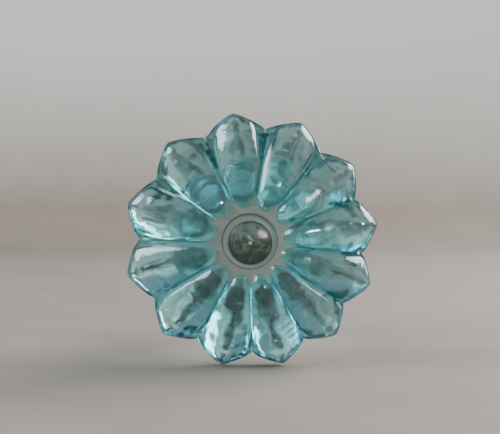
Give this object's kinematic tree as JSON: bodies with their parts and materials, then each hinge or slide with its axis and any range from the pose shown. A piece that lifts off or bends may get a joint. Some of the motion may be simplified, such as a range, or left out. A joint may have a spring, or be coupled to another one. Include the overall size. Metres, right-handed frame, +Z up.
{
  "type": "glass drawer knob",
  "caption": "Pressed-glass flower knob for a drawer or cupboard, with a cemented threaded stud, leather cushion, washer and nut.",
  "frame": {"origin": "on the knob's axis, in the plane of the cushion washer's flat back, where the knob meets the drawer front", "axes": "+Y along the stud, into the drawer; the flower faces -Y; +Z up"},
  "size_m": [0.0393, 0.0486, 0.0395],
  "materials": {
    "glass": "fire-polished pressed glass, aqua",
    "plaster": "matt",
    "stud_iron": "dark, oxidised",
    "cushion": "matt",
    "washer_steel": "dull zinc",
    "nut_steel": "dull zinc"
  },
  "bodies": {
    "knob": {"glass_knob": "glass", "cement_plug": "plaster", "threaded_stud": "stud_iron", "cushion_washer": "cushion"},
    "washer": {"flat_washer": "washer_steel"},
    "nut": {"hex_nut": "nut_steel"}
  },
  "joints": [
    {"name": "washer_travel", "type": "slide", "parent": "knob", "child": "washer", "axis": [0, 1, 0], "range_m": [-0.00953, 0.00238]},
    {"name": "nut_spin", "type": "hinge", "parent": "washer", "child": "nut", "pos_m": [0, 0.0206, 0], "axis": [0, 1, 0], "range_deg": [-4321, 1081]}
  ],
  "couplings": [
    {"joint": "nut_spin", "follows": "washer_travel", "rad_per_m": 7915.8}
  ]
}
